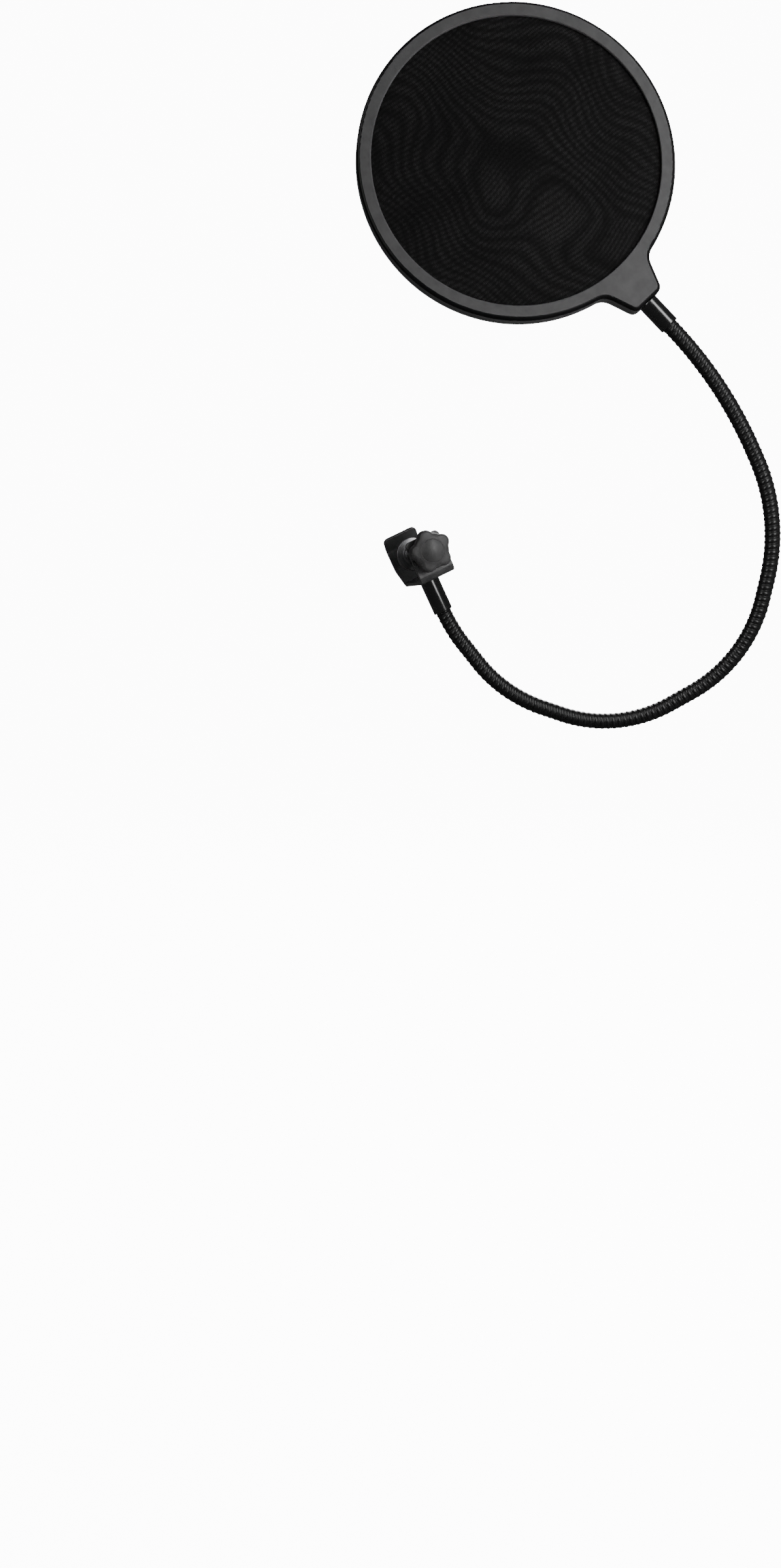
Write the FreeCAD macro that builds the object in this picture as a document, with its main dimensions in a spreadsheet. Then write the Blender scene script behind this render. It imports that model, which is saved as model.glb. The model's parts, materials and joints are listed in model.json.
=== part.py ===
import FreeCAD, Part
import math
import os

import Sketcher
from FreeCAD import Placement, Rotation, Vector

# Pop filter on a gooseneck with a screw clamp.
# Frame: millimetres, +Z up, -Y towards the voice.  The origin is the centre of
# the bar held in the clamp's jaw, on the axis of the clamp bolt.

SIZES = {
    # round frame of the screen, measured from its parting plane
    "hoop_radius": 77.5,
    "window_radius": 70.4,
    "half_depth": 4.8,
    "lip_depth": 1.4,
    "wall_radius": 74.6,
    "tongue_inner": 73.6,
    "tongue_outer": 74.5,
    "tongue_height": 2.4,
    "edge_round": 1.9,
    "window_round": 0.5,
    "gauze_radius": 73.4,
    "gauze_thickness": 0.35,
    "spacer_inner": 71.0,
    # tab that holds the gooseneck
    "tab_root": 75.0,
    "tab_end": 92.6,
    "tab_root_half": 15.2,
    "tab_end_half": 8.6,
    "tab_corner": 4.0,
    "tab_blend": 8.0,
    "insert_radius": 3.7,
    "insert_start": 79.0,
    "insert_end": 90.0,
    "stud_radius": 2.5,
    "stud_start": 80.0,
    "tab_screw_reach": 84.5,
    "tab_screw_side": 7.4,
    "tab_screw_radius": 1.1,
    "tab_screw_top": 3.0,
    "tab_screw_head": 2.0,
    "tab_screw_head_height": 1.3,
    # gooseneck and its end sleeves
    "neck_radius": 4.0,
    "neck_gap": 4.3,
    "sleeve_radius": 4.85,
    "sleeve_bore": 4.05,
    "sleeve_base": 5.0,
    "upper_sleeve_length": 15.4,
    "lower_sleeve_length": 18.0,
    # bent strip of the clamp, seen along the bar
    "strip_width": 18.4,
    "strip_thickness": 1.7,
    "bend_radius": 1.8,
    "front_leg": 36.8,
    "front_top": 8.0,
    "web_depth": 12.1,
    "web_back": 2.5,
    "jaw_flat": 5.0,
    "jaw_lower": 4.6,
    "jaw_upper": 5.4,
    "lip_forward": 1.3,
    "lip_top": 11.5,
    "leg_corner": 2.5,
    "neck_offset": 16.0,
    "sleeve_screw_head": 4.2,
    "sleeve_screw_head_height": 2.6,
    "washer_radius": 4.6,
    "washer_thickness": 0.8,
    # clamp bolt, pad and knob, measured along the bolt from the bar's centre
    "bolt_radius": 3.0,
    "bolt_hole_radius": 3.06,
    "bolt_shoulder": 9.1,
    "spigot_radius": 2.1,
    "spigot_tip": 6.4,
    "spigot_bore": 2.16,
    "retainer_radius": 3.4,
    "retainer_thickness": 0.8,
    "facing_thickness": 1.0,
    "facing_radius": 7.9,
    "pad_radius": 8.2,
    "pad_front": 6.0,
    "pad_rim": 1.8,
    "pad_back": 10.6,
    "pad_boss": 4.6,
    "pad_recess": 3.9,
    "pad_recess_end": 7.3,
    "pad_socket_start": 9.0,
    "pad_socket": 3.08,
    "knob_back": 41.5,
    "knob_front": 48.6,
    "knob_core": 8.7,
    "lobe_radius": 3.6,
    "lobe_reach": 6.9,
    "hex_flat": 5.0,
    "hex_start": 44.0,
    "hex_end": 48.0,
    "cap_radius": 5.6,
    "cap_seat": 48.0,
    "cap_top": 50.6,
}

# Where the assemblies stand (degrees and millimetres)
BAR_RISE = 25.5
SCREEN_CENTRE = Vector(43.4, -39.1, 186.7)
SCREEN_YAW = -8.7
SCREEN_PITCH = -6.3
TAB_ANGLE = -46.3
LOBE_COUNT = 5
LOBE_START = 17.5

# The gooseneck's centreline: how far its end runs go straight out of the clamp
# and the tab, and the corners between them that its arcs round off.
NECK_FIRST_CORNER = 28.0
NECK_LAST_CORNER = 53.0
SHORTEST_RUN = 0.5
NECK_CORNERS = [
    Vector(42.5, -26.0, -70.5),
    Vector(98.5, -40.0, -90.0),
    Vector(159.5, -59.0, -53.5),
    Vector(171.0, -71.0, 17.0),
]

doc = FreeCAD.newDocument("pop_filter")
sheet = doc.addObject("Spreadsheet::Sheet", "Sizes")
parts = []


class Dim:
    """A size that carries its number and the spreadsheet expression behind it."""

    def __init__(self, number, text):
        self.number = float(number)
        self.text = text

    def __add__(self, other):
        other = as_dim(other)
        return Dim(self.number + other.number, f"({self.text} + {other.text})")

    def __sub__(self, other):
        other = as_dim(other)
        return Dim(self.number - other.number, f"({self.text} - {other.text})")

    def __neg__(self):
        return Dim(-self.number, f"(-1 * {self.text})")


def as_dim(size):
    return size if isinstance(size, Dim) else Dim(size, str(float(size)))


def fill_sheet(sizes):
    """Write one row per size and return the sizes as a name-to-Dim table."""
    table = {}
    for row, (alias, number) in enumerate(sizes.items(), start=1):
        sheet.set(f"A{row}", alias)
        sheet.set(f"B{row}", str(number))
        sheet.setAlias(f"B{row}", alias)
        table[alias] = Dim(number, f"Sizes.{alias}")
    doc.recompute()
    return table


def bind(feature, prop, size):
    size = as_dim(size)
    setattr(feature, prop, size.number)
    feature.setExpression(prop, size.text)


def new_body(name, placement):
    body = doc.addObject("PartDesign::Body", name)
    body.Label = name
    body.Placement = placement
    parts.append(body)
    return body


def new_sketch(body, name, plane):
    sketch = body.newObject("Sketcher::SketchObject", name)
    for feature in body.Origin.OriginFeatures:
        if feature.Role == plane:
            sketch.AttachmentSupport = [(feature, "")]
    sketch.MapMode = "FlatFace"
    return sketch


def pin(sketch, geometry, vertex, kind, size, name):
    """Fix one coordinate of a sketch point at a size from the origin."""
    size = as_dim(size)
    if abs(size.number) < 1e-9:
        axis = -2 if kind == "DistanceX" else -1
        sketch.addConstraint(Sketcher.Constraint("PointOnObject", geometry, vertex, axis))
        return
    index = sketch.addConstraint(Sketcher.Constraint(kind, -1, 1, geometry, vertex, size.number))
    sketch.renameConstraint(index, name)
    sketch.setExpression(f"Constraints.{name}", size.text)


def draw_outline(sketch, points):
    """Draw a closed polygon whose corners are pinned to their sizes."""
    corners = [Vector(as_dim(x).number, as_dim(y).number, 0) for x, y in points]
    count = len(corners)
    for index in range(count):
        sketch.addGeometry(Part.LineSegment(corners[index], corners[(index + 1) % count]), False)
    for index in range(count):
        sketch.addConstraint(Sketcher.Constraint("Coincident", index, 2, (index + 1) % count, 1))
    for index, (x, y) in enumerate(points):
        pin(sketch, index, 1, "DistanceX", x, f"across_{index}")
        pin(sketch, index, 1, "DistanceY", y, f"along_{index}")


def turn(body, outline, name="Turning"):
    """Revolve an outline of (radius, height) points about the body's Z axis."""
    sketch = new_sketch(body, name + "Outline", "XZ_Plane")
    draw_outline(sketch, outline)
    turning = body.newObject("PartDesign::Revolution", name)
    turning.Profile = sketch
    turning.ReferenceAxis = (sketch, ["V_Axis"])
    turning.Angle = 360
    sketch.Visibility = False
    return turning


def turned_part(name, placement, outline):
    body = new_body(name, placement)
    turn(body, outline)
    return body


def cylinder(body, kind, name, radius, length, base, axis):
    """Add or cut a cylinder that starts at base and runs along axis."""
    feature = body.newObject(f"PartDesign::{kind}Cylinder", name)
    bind(feature, "Radius", radius)
    bind(feature, "Height", length)
    corner = Vector(*[as_dim(size).number for size in base])
    feature.Placement = Placement(corner, Rotation(Vector(0, 0, 1), axis))
    for letter, size in zip("xyz", base):
        if isinstance(size, Dim):
            feature.setExpression(f"Placement.Base.{letter}", size.text)
    return feature


def round_edges(body, base, chosen, radius, name):
    """Fillet the edges of a feature for which chosen(edge) is true."""
    doc.recompute()
    names = [f"Edge{index}" for index, edge in enumerate(base.Shape.Edges, start=1) if chosen(edge)]
    fillet = body.newObject("PartDesign::Fillet", name)
    fillet.Base = (base, names)
    bind(fillet, "Radius", radius)
    doc.recompute()
    return fillet


def runs_along(edge, axis):
    """True for a straight edge parallel to an axis."""
    if not isinstance(edge.Curve, Part.Line):
        return False
    return abs(abs(edge.tangentAt(edge.FirstParameter).dot(axis)) - 1) < 1e-6


size = fill_sheet(SIZES)

# ---------------------------------------------------------------- placements

upright = Rotation(Vector(1, 0, 0), 90)
tilt = Rotation(Vector(0, 1, 0), -BAR_RISE)
turned_to_voice = Rotation(Vector(0, 0, 1), SCREEN_YAW) * Rotation(Vector(1, 0, 0), SCREEN_PITCH)
screen_turn = turned_to_voice * upright * Rotation(Vector(0, 0, 1), TAB_ANGLE)

jaw_place = Placement(Vector(0, 0, 0), tilt)
bolt_place = Placement(Vector(0, 0, 0), tilt * upright)
screen_place = Placement(SCREEN_CENTRE, screen_turn)

clamp_down = tilt.multVec(Vector(0, 0, -1))
tab_out = screen_turn.multVec(Vector(1, 0, 0))
web_exit = clamp_down * (SIZES["web_depth"] + SIZES["strip_thickness"])
web_exit = web_exit + Vector(0, -SIZES["neck_offset"], 0)
tab_exit = SCREEN_CENTRE + tab_out * SIZES["tab_end"]


# ---------------------------------------------------------------- screen

def hoop_half(name, outline, side):
    """One half of the round frame with its half of the tab; side is +1 in front."""
    body = new_body(name, screen_place)
    turn(body, outline, "Ring")
    sketch = new_sketch(body, "TabOutline", "XY_Plane")
    draw_outline(sketch, [
        (size["tab_root"], -size["tab_root_half"]),
        (size["tab_end"], -size["tab_end_half"]),
        (size["tab_end"], size["tab_end_half"]),
        (size["tab_root"], size["tab_root_half"]),
    ])
    tab = body.newObject("PartDesign::Pad", "Tab")
    tab.Profile = sketch
    bind(tab, "Length", size["half_depth"])
    tab.Reversed = side < 0
    sketch.Visibility = False

    up = Vector(0, 0, 1)
    at_end = SIZES["tab_end"] - 0.1
    at_ring = SIZES["hoop_radius"] - 0.1

    def at_tab_end(edge):
        return runs_along(edge, up) and edge.CenterOfMass.x > at_end

    corners = round_edges(body, tab, at_tab_end, size["tab_corner"], "TabCorners")

    def joins_ring(edge):
        centre = edge.CenterOfMass
        radius = math.hypot(centre.x, centre.y)
        return runs_along(edge, up) and abs(radius - at_ring) < 0.2 and centre.x < at_end

    blend = round_edges(body, corners, joins_ring, size["tab_blend"], "TabBlend")

    def on_outer_rim(edge):
        box = edge.BoundBox
        flat = box.ZLength < 1e-6 and abs(abs(box.ZMin) - SIZES["half_depth"]) < 1e-6
        reach = math.hypot(edge.CenterOfMass.x, edge.CenterOfMass.y)
        mid = edge.valueAt((edge.FirstParameter + edge.LastParameter) / 2)
        return flat and max(math.hypot(mid.x, mid.y), reach) > SIZES["wall_radius"]

    rim = round_edges(body, blend, on_outer_rim, size["edge_round"], "RimRound")

    def on_window(edge):
        box = edge.BoundBox
        outside = box.ZLength < 1e-6 and abs(abs(box.ZMin) - SIZES["half_depth"]) < 1e-6
        return outside and abs(box.XMax - SIZES["window_radius"]) < 1e-3

    round_edges(body, rim, on_window, size["window_round"], "WindowRound")
    along = Vector(1, 0, 0)
    cylinder(body, "Subtractive", "InsertSeat", size["insert_radius"],
             size["insert_end"] - size["insert_start"], (size["insert_start"], 0, 0), along)
    cylinder(body, "Subtractive", "StudHole", size["stud_radius"] + 0.1,
             size["tab_end"] - size["insert_end"] + 0.5, (size["insert_end"] - 0.2, 0, 0), along)
    return body


def drill_tab(body, radius, start, length, name):
    """Two holes across the tab, one each side of the insert."""
    for index, across in enumerate((size["tab_screw_side"], -size["tab_screw_side"])):
        cylinder(body, "Subtractive", f"{name}{index}", radius, length,
                 (size["tab_screw_reach"], across, start), Vector(0, 0, 1))


lip_level = size["half_depth"] - size["lip_depth"]

front_hoop = hoop_half("front_hoop", [
    (size["hoop_radius"], 0),
    (size["hoop_radius"], size["half_depth"]),
    (size["window_radius"], size["half_depth"]),
    (size["window_radius"], lip_level),
    (size["wall_radius"], lip_level),
    (size["wall_radius"], 0),
], 1)
drill_tab(front_hoop, size["tab_screw_radius"], 0, size["tab_screw_top"] + 0.2, "ScrewPilot")

rear_hoop = hoop_half("rear_hoop", [
    (size["hoop_radius"], 0),
    (size["hoop_radius"], -size["half_depth"]),
    (size["window_radius"], -size["half_depth"]),
    (size["window_radius"], -lip_level),
    (size["tongue_inner"], -lip_level),
    (size["tongue_inner"], size["tongue_height"]),
    (size["tongue_outer"], size["tongue_height"]),
    (size["tongue_outer"], 0),
], -1)
head_seat = size["tab_screw_head_height"] + 0.2
drill_tab(rear_hoop, size["tab_screw_radius"], -size["half_depth"], size["half_depth"], "ScrewHole")
drill_tab(rear_hoop, size["tab_screw_head"] + 0.1, -size["half_depth"], head_seat, "HeadSeat")

gauze_back = lip_level - size["gauze_thickness"]
gauze_levels = {
    "front_mesh": (gauze_back, lip_level),
    "rear_mesh": (-lip_level, -gauze_back),
}
for name, (low, high) in gauze_levels.items():
    turned_part(name, screen_place, [
        (0, low),
        (size["gauze_radius"], low),
        (size["gauze_radius"], high),
        (0, high),
    ])

turned_part("spacer_ring", screen_place, [
    (size["spacer_inner"], -gauze_back),
    (size["gauze_radius"], -gauze_back),
    (size["gauze_radius"], gauze_back),
    (size["spacer_inner"], gauze_back),
])

along_tab = Placement(SCREEN_CENTRE, screen_turn * Rotation(Vector(0, 1, 0), 90))
turned_part("tab_insert", along_tab, [
    (size["stud_radius"], size["insert_start"]),
    (size["insert_radius"], size["insert_start"]),
    (size["insert_radius"], size["insert_end"]),
    (size["stud_radius"], size["insert_end"]),
])
stud_end = size["tab_end"] + size["sleeve_base"] - 0.2
turned_part("upper_stud", along_tab, [
    (0, size["stud_start"]),
    (size["stud_radius"], size["stud_start"]),
    (size["stud_radius"], stud_end),
    (0, stud_end),
])


def tab_screw_pair():
    """Two self-tapping screws let into the back of the tab, kept as one group."""
    reach = SIZES["tab_screw_reach"]
    side = SIZES["tab_screw_side"]
    head_level = -SIZES["half_depth"] + SIZES["tab_screw_head_height"] + 0.2
    shank = doc.addObject("Part::Cylinder", "ScrewShank")
    bind(shank, "Radius", size["tab_screw_radius"])
    bind(shank, "Height", size["tab_screw_top"] + size["half_depth"] - size["tab_screw_head_height"] - 0.2)
    shank.Placement = Placement(Vector(reach, side, head_level), Rotation())
    head = doc.addObject("Part::Cylinder", "ScrewHead")
    bind(head, "Radius", size["tab_screw_head"])
    bind(head, "Height", size["tab_screw_head_height"])
    head.Placement = Placement(Vector(reach, side, -SIZES["half_depth"] + 0.2), Rotation())
    screw = doc.addObject("Part::Fuse", "TabScrew")
    screw.Base = shank
    screw.Tool = head
    twin = doc.addObject("Part::Mirroring", "TabScrewTwin")
    twin.Source = screw
    twin.Normal = Vector(0, 1, 0)
    pair = doc.addObject("Part::Compound", "tab_screws")
    pair.Label = "tab_screws"
    pair.Links = [screw, twin]
    pair.Placement = screen_place
    parts.append(pair)


tab_screw_pair()


# ---------------------------------------------------------------- sleeves

def end_sleeve(name, place, length):
    """A blind ferrule: bored for the gooseneck, drilled through its base for a thread."""
    turned_part(name, place, [
        (size["stud_radius"], 0),
        (size["sleeve_radius"] - 0.3, 0),
        (size["sleeve_radius"], 0.3),
        (size["sleeve_radius"], length - 0.5),
        (size["sleeve_radius"] - 0.5, length),
        (size["sleeve_bore"], length),
        (size["sleeve_bore"], size["sleeve_base"]),
        (size["stud_radius"], size["sleeve_base"]),
    ])


upper_place = Placement(tab_exit, Rotation(Vector(0, 0, 1), tab_out))
lower_place = Placement(web_exit, Rotation(Vector(0, 0, 1), clamp_down))
end_sleeve("upper_sleeve", upper_place, size["upper_sleeve_length"])
end_sleeve("lower_sleeve", lower_place, size["lower_sleeve_length"])


# ---------------------------------------------------------------- gooseneck

def neck_points():
    """Corners of the centreline, and the points on it where it is cut or ends."""
    inset = SIZES["sleeve_base"] + 0.2
    corners = [web_exit + clamp_down * NECK_FIRST_CORNER]
    corners += NECK_CORNERS
    corners.append(tab_exit + tab_out * NECK_LAST_CORNER)
    cuts = [web_exit + clamp_down * inset]
    cuts += [(first + second) * 0.5 for first, second in zip(corners, corners[1:])]
    cuts.append(tab_exit + tab_out * inset)
    return corners, cuts


def neck_segment(number, start, corner, end, ball, gap):
    """A round bar that runs straight, bends in one arc and runs straight again."""
    inward = (corner - start).normalize()
    outward = (end - corner).normalize()
    before = (corner - start).Length
    after = (end - corner).Length
    bend_turn = math.acos(inward.dot(outward))
    in_sleeve = SIZES["lower_sleeve_length"] - SIZES["sleeve_base"] if number == 1 else SHORTEST_RUN
    tangent = min(before - in_sleeve, after - gap - SHORTEST_RUN)
    bend = tangent / math.tan(bend_turn / 2)
    lead = before - tangent
    tail = after - tangent - gap

    side = (outward - inward * inward.dot(outward)).normalize()
    frame = Rotation(inward, side, inward.cross(side), "XYZ")
    body = new_body(f"gooseneck_{number}", Placement(start, frame))

    path = new_sketch(body, "Centreline", "XY_Plane")
    bend_start = Vector(lead, 0, 0)
    bend_centre = Vector(lead, bend, 0)
    bend_end = bend_centre + Vector(bend * math.sin(bend_turn), -bend * math.cos(bend_turn), 0)
    tail_end = bend_end + Vector(tail * math.cos(bend_turn), tail * math.sin(bend_turn), 0)
    circle = Part.Circle(bend_centre, Vector(0, 0, 1), bend)
    path.addGeometry(Part.LineSegment(Vector(0, 0, 0), bend_start), False)
    path.addGeometry(Part.ArcOfCircle(circle, -math.pi / 2, -math.pi / 2 + bend_turn), False)
    path.addGeometry(Part.LineSegment(bend_end, tail_end), False)
    path.addConstraint([
        Sketcher.Constraint("Coincident", 0, 1, -1, 1),
        Sketcher.Constraint("PointOnObject", 0, 2, -1),
        Sketcher.Constraint("Tangent", 0, 2, 1, 1),
        Sketcher.Constraint("Tangent", 1, 2, 2, 1),
        Sketcher.Constraint("Radius", 1, bend),
        Sketcher.Constraint("DistanceX", 0, 1, 0, 2, lead),
        Sketcher.Constraint("Distance", 2, tail),
        Sketcher.Constraint("DistanceX", -1, 1, 2, 1, bend_end.x),
    ])

    section = new_sketch(body, "Section", "YZ_Plane")
    section.addGeometry(Part.Circle(Vector(0, 0, 0), Vector(0, 0, 1), SIZES["neck_radius"]), False)
    section.addConstraint(Sketcher.Constraint("Coincident", 0, 3, -1, 1))
    index = section.addConstraint(Sketcher.Constraint("Radius", 0, SIZES["neck_radius"]))
    section.renameConstraint(index, "radius")
    section.setExpression("Constraints.radius", "Sizes.neck_radius")
    doc.recompute()

    pipe = body.newObject("PartDesign::AdditivePipe", "Bar")
    pipe.Profile = section
    pipe.Spine = (path, ["Edge1", "Edge2", "Edge3"])
    section.Visibility = False
    path.Visibility = False
    doc.recompute()
    length = lead + bend * bend_turn + tail
    expected = math.pi * SIZES["neck_radius"] ** 2 * length
    print(f"gooseneck_{number}: lead {lead:.1f}, bend radius {bend:.1f}, "
          f"turn {math.degrees(bend_turn):.1f}, tail {tail:.1f}, length {length:.1f}, "
          f"volume ratio {pipe.Shape.Volume / expected:.4f}")
    if ball:
        sphere = body.newObject("PartDesign::AdditiveSphere", "PivotEnd")
        bind(sphere, "Radius", size["neck_radius"])
    return length + gap


def build_neck():
    corners, cuts = neck_points()
    total = 0
    last = len(corners)
    for number, corner in enumerate(corners, start=1):
        gap = 0 if number == last else SIZES["neck_gap"]
        total += neck_segment(number, cuts[number - 1], corner, cuts[number], number > 1, gap)
    print(f"gooseneck length {total:.1f}")
    for number in range(1, last):
        cut = cuts[number]
        run = (corners[number] - corners[number - 1]).normalize()
        print(f"bend {number}: at {cut.x:.2f} {cut.y:.2f} {cut.z:.2f}, "
              f"along {run.x:.4f} {run.y:.4f} {run.z:.4f}")


build_neck()


# ---------------------------------------------------------------- clamp

def strip_outline(sketch):
    """The bent strip's side view: inner corners pinned, outer ones one thickness away."""
    inner = [
        (-size["front_leg"], size["front_top"]),
        (-size["front_leg"], -size["web_depth"]),
        (-size["web_back"], -size["web_depth"]),
        (size["jaw_flat"], -size["jaw_lower"]),
        (size["jaw_flat"], size["jaw_upper"]),
        (size["lip_forward"], size["lip_top"]),
    ]
    points = [Vector(y.number, z.number, 0) for y, z in inner]
    thickness = SIZES["strip_thickness"]
    runs = [(b - a).normalize() for a, b in zip(points, points[1:])]
    out = [Vector(run.y, -run.x, 0) for run in runs]
    outer = [points[0] + out[0] * thickness]
    for index in range(1, len(points) - 1):
        middle = (out[index - 1] + out[index]).normalize()
        outer.append(points[index] + middle * (thickness / middle.dot(out[index])))
    outer.append(points[-1] + out[-1] * thickness)

    ring = points + outer[::-1]
    count = len(ring)
    for index in range(count):
        sketch.addGeometry(Part.LineSegment(ring[index], ring[(index + 1) % count]), False)
    for index in range(count):
        sketch.addConstraint(Sketcher.Constraint("Coincident", index, 2, (index + 1) % count, 1))
    for index, (y, z) in enumerate(inner):
        pin(sketch, index, 1, "DistanceX", y, f"depth_{index}")
        pin(sketch, index, 1, "DistanceY", z, f"height_{index}")
    for index in range(len(runs)):
        mate = count - 2 - index
        sketch.addConstraint(Sketcher.Constraint("Parallel", index, mate))
        number = sketch.addConstraint(Sketcher.Constraint("Distance", index, 1, mate, thickness))
        sketch.renameConstraint(number, f"thickness_{index}")
        sketch.setExpression(f"Constraints.thickness_{index}", "Sizes.strip_thickness")
    sketch.addConstraint(Sketcher.Constraint("Perpendicular", len(runs), len(runs) - 1))
    sketch.addConstraint(Sketcher.Constraint("Perpendicular", count - 1, 0))
    return points, outer


def jaw_bracket():
    """C-shaped bracket bent from strip, with the bolt's and the sleeve screw's holes."""
    body = new_body("jaw_bracket", jaw_place)
    sketch = new_sketch(body, "SideView", "YZ_Plane")
    inner, outer = strip_outline(sketch)
    strip = body.newObject("PartDesign::Pad", "Strip")
    strip.Profile = sketch
    strip.Midplane = True
    bind(strip, "Length", size["strip_width"])
    sketch.Visibility = False
    across = Vector(1, 0, 0)

    def at_any(edge, points):
        centre = edge.CenterOfMass
        return any(math.hypot(centre.y - p.x, centre.z - p.y) < 1e-3 for p in points)

    # the inside of each bend is tight and its outside is one thickness larger
    turns_in = [inner[1], inner[2], inner[3], inner[4]]
    turns_out = [outer[1], outer[2], outer[3], outer[4]]
    tight = round_edges(body, strip, lambda edge: runs_along(edge, across) and at_any(edge, turns_in),
                        size["bend_radius"], "InnerBends")
    wide = round_edges(body, tight, lambda edge: runs_along(edge, across) and at_any(edge, turns_out),
                       size["bend_radius"] + size["strip_thickness"], "OuterBends")

    def is_leg_corner(edge):
        centre = edge.CenterOfMass
        top = SIZES["front_top"] - 0.5
        return abs(centre.x) > SIZES["strip_width"] / 2 - 0.1 and centre.z > top and edge.Length < 2

    round_edges(body, wide, is_leg_corner, size["leg_corner"], "LegCorners")
    cylinder(body, "Subtractive", "BoltHole", size["bolt_hole_radius"], size["strip_thickness"] + 2,
             (0, -(size["front_leg"] + size["strip_thickness"] + 1), 0), Vector(0, 1, 0))
    cylinder(body, "Subtractive", "SleeveScrewHole", size["stud_radius"] + 0.1, size["strip_thickness"] + 2,
             (0, -size["neck_offset"], -(size["web_depth"] + size["strip_thickness"] + 1)), Vector(0, 0, 1))
    return body


jaw_bracket()

# the screw through the web, measured down from the bolt's axis
under_web = Placement(Vector(0, -SIZES["neck_offset"], 0), Rotation(Vector(0, 0, 1), clamp_down))
head_top = size["web_depth"] - size["washer_thickness"] - size["sleeve_screw_head_height"]
head_base = size["web_depth"] - size["washer_thickness"]
sleeve_screw_end = size["web_depth"] + size["strip_thickness"] + size["sleeve_base"]
turned_part("sleeve_screw", under_web, [
    (0, head_top),
    (size["sleeve_screw_head"] - 0.9, head_top),
    (size["sleeve_screw_head"], head_top + 0.9),
    (size["sleeve_screw_head"], head_base),
    (size["stud_radius"], head_base),
    (size["stud_radius"], sleeve_screw_end),
    (0, sleeve_screw_end),
])
turned_part("sleeve_washer", under_web, [
    (size["stud_radius"] + 0.1, head_base),
    (size["washer_radius"], head_base),
    (size["washer_radius"], size["web_depth"]),
    (size["stud_radius"] + 0.1, size["web_depth"]),
])

turned_part("pad_facing", bolt_place, [
    (0, size["jaw_flat"]),
    (size["facing_radius"], size["jaw_flat"]),
    (size["facing_radius"], size["jaw_flat"] + size["facing_thickness"]),
    (0, size["jaw_flat"] + size["facing_thickness"]),
])
turned_part("pressure_pad", bolt_place, [
    (size["pad_recess"], size["pad_front"]),
    (size["pad_radius"] - 0.4, size["pad_front"]),
    (size["pad_radius"], size["pad_front"] + 0.4),
    (size["pad_radius"], size["pad_front"] + size["pad_rim"] - 0.6),
    (size["pad_radius"] - 0.6, size["pad_front"] + size["pad_rim"]),
    (size["pad_boss"] + 0.6, size["pad_front"] + size["pad_rim"] + 0.3),
    (size["pad_boss"], size["pad_front"] + size["pad_rim"] + 0.9),
    (size["pad_boss"], size["pad_back"] - 0.4),
    (size["pad_boss"] - 0.4, size["pad_back"]),
    (size["pad_socket"], size["pad_back"]),
    (size["pad_socket"], size["pad_socket_start"]),
    (size["spigot_bore"], size["pad_socket_start"]),
    (size["spigot_bore"], size["pad_recess_end"]),
    (size["pad_recess"], size["pad_recess_end"]),
])
turned_part("pad_retainer", bolt_place, [
    (size["spigot_radius"], size["spigot_tip"]),
    (size["retainer_radius"], size["spigot_tip"]),
    (size["retainer_radius"], size["spigot_tip"] + size["retainer_thickness"]),
    (size["spigot_radius"], size["spigot_tip"] + size["retainer_thickness"]),
])


def hexagon(sketch, flat):
    """A regular hexagon about the origin, sized by its half width across flats."""
    reach = flat.number / math.cos(math.pi / 6)
    turns = [index * math.pi / 3 for index in range(6)]
    corners = [Vector(reach * math.cos(a), reach * math.sin(a), 0) for a in turns]
    for index in range(6):
        sketch.addGeometry(Part.LineSegment(corners[index], corners[(index + 1) % 6]), False)
    guide = sketch.addGeometry(Part.Circle(Vector(0, 0, 0), Vector(0, 0, 1), flat.number), True)
    for index in range(6):
        sketch.addConstraint(Sketcher.Constraint("Coincident", index, 2, (index + 1) % 6, 1))
        sketch.addConstraint(Sketcher.Constraint("Tangent", index, guide))
    for index in range(1, 5):
        sketch.addConstraint(Sketcher.Constraint("Equal", index, 0))
    sketch.addConstraint(Sketcher.Constraint("Coincident", guide, 3, -1, 1))
    sketch.addConstraint(Sketcher.Constraint("PointOnObject", 0, 1, -1))
    number = sketch.addConstraint(Sketcher.Constraint("Radius", guide, flat.number))
    sketch.renameConstraint(number, "half_flat")
    sketch.setExpression("Constraints.half_flat", flat.text)


def clamp_bolt():
    """Hex bolt whose shank ends in a thin spigot for the pad."""
    body = turned_part("clamp_bolt", bolt_place, [
        (0, size["spigot_tip"]),
        (size["spigot_radius"], size["spigot_tip"]),
        (size["spigot_radius"], size["bolt_shoulder"]),
        (size["bolt_radius"] - 0.5, size["bolt_shoulder"]),
        (size["bolt_radius"], size["bolt_shoulder"] + 0.5),
        (size["bolt_radius"], size["hex_start"] + 1),
        (0, size["hex_start"] + 1),
    ])
    sketch = new_sketch(body, "HexHead", "XY_Plane")
    hexagon(sketch, size["hex_flat"])
    sketch.AttachmentOffset = Placement(Vector(0, 0, SIZES["hex_start"]), Rotation())
    sketch.setExpression("AttachmentOffset.Base.z", "Sizes.hex_start")
    head = body.newObject("PartDesign::Pad", "Head")
    head.Profile = sketch
    bind(head, "Length", size["hex_end"] - size["hex_start"])
    sketch.Visibility = False


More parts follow.
